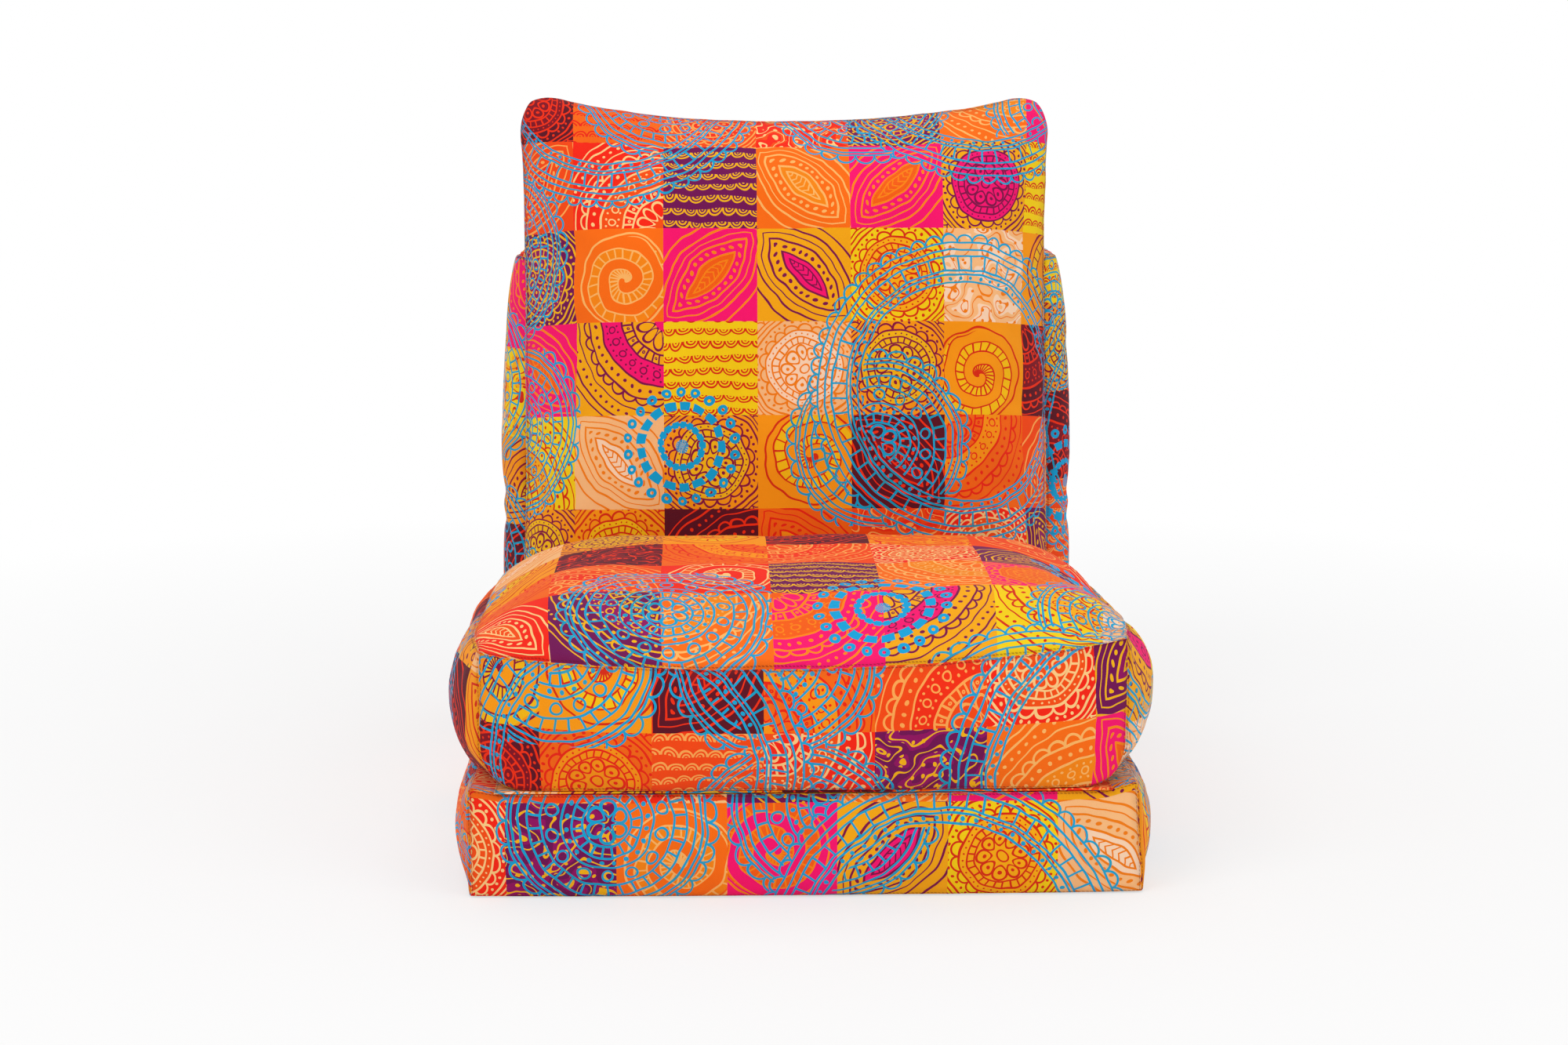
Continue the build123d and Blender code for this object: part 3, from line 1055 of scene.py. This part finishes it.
for cover, prefix in ((base, "Base"), (seat, "Seat"), (back, "Back")):
    body = prefix.lower()
    wrap, slab = prefix + "_wadding_wrap", prefix + "_foam_slab"
    filling(cover, wrap, body + "_wadding", body, WADDING_INSET, WADDING)
    filling(cover, slab, body + "_foam", body, FOAM_INSET, FOAM)
filling(
    pillow, "Pillow_filling", "pillow_fill", "pillow", WADDING_INSET, FILLING, turn
)
for cover in (base, seat, back, pillow):
    bpy.data.objects.remove(cover)


# Cloth hinges


def strip(name, node, path, print_at):
    """A strip of cloth along a path of (y, z) points, with its print laid out along it."""
    columns = STRIP_COLUMNS
    across = np.linspace(-STRIP_HALF_WIDTH, STRIP_HALF_WIDTH, columns)
    lengths = [0.0]
    for a, b in zip(path, path[1:]):
        lengths.append(lengths[-1] + math.dist(a, b))
    points = [(x, y, z) for y, z in path for x in across]
    faces, uvs = [], []
    for m in range(len(path) - 1):
        for n in range(columns - 1):
            ring = [(m, n), (m, n + 1), (m + 1, n + 1), (m + 1, n)]
            faces.append([a * columns + b for a, b in ring])
            flat = [(across[b], lengths[a]) for a, b in ring]
            uvs += [(x / PATCH + print_at[0], y / PATCH + print_at[1]) for x, y in flat]
    piece = made_mesh(name, points, faces)
    piece.data.uv_layers.new(name="Print").data.foreach_set("uv", np.array(uvs).ravel())
    edge_layer(piece)
    piece.data.materials.append(PRINTED)
    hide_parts(node)
    return piece, lengths[-1]


# The front hinge: a lower leaf on the base, a round fold at the front, and an upper leaf
fold_front, fold_back = FRONT - 0.0045, FRONT + 0.046
radius, middle = (FOLD_HIGH - FOLD_LOW) / 2, (FOLD_LOW + FOLD_HIGH) / 2
path = [(y, FOLD_LOW) for y in np.linspace(fold_back, fold_front, 12)]
for step in range(1, 24):
    angle = math.pi * step / 24
    path.append((fold_front - radius * math.sin(angle), middle - radius * math.cos(angle)))
path += [(y, FOLD_HIGH) for y in np.linspace(fold_front, fold_back, 12)]
front_strip, front_length = strip("Front_hinge_cloth", "front_hinge_strip", path, (6.2, 44.1))
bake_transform(front_strip)

# The rear hinge: a strip that lies on the floor, with slight waves
low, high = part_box("rear_hinge_strip")
path = []
for y in np.linspace(low[1], high[1] + 0.003, 28):
    wave = 0.00025 * math.sin((y - low[1]) * 90)
    path.append((y, 0.00055 + abs(wave)))
rear_strip, rear_length = strip("Rear_hinge_cloth", "rear_hinge_strip", path, (3.4, 51.3))
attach(rear_strip, "base")


# Zips


def bar(points, faces, centre, axes, half):
    """Adds a small block with chamfered ends: axes are its length, width and height directions."""
    start = len(points)
    length, width, height = (np.array(axis) * size for axis, size in zip(axes, half))
    for end, shrink in ((-1, 0.55), (-0.7, 1), (0.7, 1), (1, 0.55)):
        for a, b in ((-1, -1), (1, -1), (1, 1), (-1, 1)):
            points.append(np.array(centre) + length * end + (width * a + height * b) * shrink)
    faces.append([start + i for i in (3, 2, 1, 0)])
    for ring in range(3):
        for i in range(4):
            a, b = start + ring * 4 + i, start + ring * 4 + (i + 1) % 4
            faces.append([a, b, b + 4, a + 4])
    faces.append([start + 12 + i for i in range(4)])


def zip_details(prefix, origin, along, outward, tape_width):
    """The coil's teeth and the stitching that holds the tape, on top of the plain zip."""
    body = prefix.lower()
    across = np.cross(along, outward)
    origin, along, outward = (np.array(v, float) for v in (origin, along, outward))
    teeth, teeth_faces, threads, thread_faces = [], [], [], []
    for place in np.arange(-TOOTH_REACH, TOOTH_REACH + TOOTH_PITCH / 4, TOOTH_PITCH):
        for side in (-1, 1):
            middle = origin + along * (place + TOOTH_PITCH / 4 * side)
            middle = middle + across * 0.0008 * side + outward * TOOTH_HEIGHT
            bar(teeth, teeth_faces, middle, (across, along, outward), (0.001, 0.0003, 0.00022))
    for side in (-1, 1):
        for place in np.arange(-STITCH_REACH, STITCH_REACH + STITCH_PITCH / 4, STITCH_PITCH):
            middle = origin + along * place
            middle = middle + across * side * (tape_width / 2 - 0.0017) + outward * STITCH_HEIGHT
            bar(threads, thread_faces, middle, (along, across, outward), (0.0011, 0.00028, 0.00016))
    for label, points, faces, look in (
        ("teeth", teeth, teeth_faces, COIL),
        ("stitches", threads, thread_faces, THREAD),
    ):
        piece = made_mesh(prefix + "_zip_" + label, points, faces)
        piece.data.polygons.foreach_set("use_smooth", [False] * len(faces))
        piece.data.materials.append(look)
        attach(piece, body)


for prefix, along, outward in (
    ("Base", (0, -1, 0), (1, 0, 0)),
    ("Seat", (1, 0, 0), (0, 1, 0)),
    ("Back", (1, 0, 0), (0, 0, 1)),
):
    low, high = np.array(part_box(prefix.lower() + "_zip"))
    zip_details(prefix, np.where(outward, low, (low + high) / 2), along, outward, TAPE_WIDTH)
low, high = np.array(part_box("pillow_zip"))
facing = np.array((0, -math.cos(LEAN), math.sin(LEAN)))
zip_details("Pillow", (low + high) / 2 - facing * 0.001, (-1, 0, 0), facing, PILLOW_TAPE_WIDTH)

for prefix in ("base", "seat", "back", "pillow"):
    for node, look in (("_zip", TAPE), ("_zip_slider", METAL), ("_zip_pull", METAL)):
        materials = nodes[prefix + node].data.materials
        materials.clear()
        materials.append(look)


# Floor, light and camera. The world lights the object less than the white that it shows.
WORLD_STRENGTH = 0.62
FLOOR_REACH = 9
IMAGE_WIDTH, FOCAL_PIXELS = 2000, 3663


def shown(tree):
    """1 for rays from the camera, and for those that metal or glass turns on its way."""
    rays = tree.nodes.new("ShaderNodeLightPath")
    kinds = ("Is Camera Ray", "Is Glossy Ray", "Is Transmission Ray")
    camera_ray, glossy, through = (Number(tree, rays.outputs[kind]) for kind in kinds)
    return camera_ray | glossy | through


def paper(name, camera_share):
    """White paper that shows as nearly white, keeps the shadow, and fades to pure white."""
    made, tree, shader = material(name, "F4F4F4", 0.9)
    glow = tree.nodes.new("ShaderNodeEmission")
    glow.inputs["Color"].default_value = (1, 1, 1, 1)
    place = tree.nodes.new("ShaderNodeTexCoord")
    reach = tree.nodes.new("ShaderNodeVectorMath")
    reach.operation = "LENGTH"
    tree.links.new(place.outputs["Object"], reach.inputs[0])
    away = Number(tree, reach.outputs["Value"]).node("MULTIPLY_ADD", 0.9, -0.6)
    away = away.node("MINIMUM", 1).node("MAXIMUM", 0)
    blend = tree.nodes.new("ShaderNodeMixShader")
    amount = shown(tree) * (away * (1 - camera_share) + camera_share)
    tree.links.new(amount.socket, blend.inputs[0])
    tree.links.new(shader.outputs[0], blend.inputs[1])
    tree.links.new(glow.outputs[0], blend.inputs[2])
    tree.links.new(blend.outputs[0], tree.nodes["Material Output"].inputs[0])
    return made


rim = [(x * FLOOR_REACH, y * FLOOR_REACH, 0) for x, y in ((-1, -1), (1, -1), (1, 1), (-1, 1))]
floor = made_mesh("Floor", rim, [[0, 1, 2, 3]])
floor.data.materials.append(paper("Floor paper", 0.62))

world = bpy.data.worlds.new("Studio")
bpy.context.scene.world = world
world.use_nodes = True
tree = world.node_tree
tree.nodes.clear()
sky = tree.nodes.new("ShaderNodeBackground")
sky.inputs["Color"].default_value = (1, 1, 1, 1)
tree.links.new((shown(tree) * (1 - WORLD_STRENGTH) + WORLD_STRENGTH).socket, sky.inputs["Strength"])
output = tree.nodes.new("ShaderNodeOutputWorld")
tree.links.new(sky.outputs[0], output.inputs[0])


def lamp(name, place, target, size, power):
    """A soft square lamp aimed at a point."""
    data = bpy.data.lights.new(name, "AREA")
    data.shape = "SQUARE"
    data.size = size
    data.energy = power
    made = bpy.data.objects.new(name, data)
    made.location = place
    made.rotation_euler = (Vector(target) - Vector(place)).to_track_quat("-Z", "Y").to_euler()
    bpy.context.scene.collection.objects.link(made)


lamp("Key", (-2.2, -2.4, 2.9), (0, 0, 0.3), 2.2, 42)
lamp("Fill", (2.6, -2.2, 1.9), (0, 0, 0.35), 2.4, 24)
lamp("Top", (0, 0.6, 3.3), (0, 0, 0.3), 2.0, 18)

camera_data = bpy.data.cameras.new("Camera")
camera_data.sensor_width = 36
camera_data.lens = FOCAL_PIXELS / IMAGE_WIDTH * camera_data.sensor_width
camera_data.clip_end = 60
camera = bpy.data.objects.new("Camera", camera_data)
camera.location = (-0.0855, -2.9197, 0.772)
camera.rotation_euler = (math.radians(90 - 9.61), 0, math.radians(-1.53))
bpy.context.scene.collection.objects.link(camera)
bpy.context.scene.camera = camera
bpy.context.scene.view_settings.view_transform = "Standard"
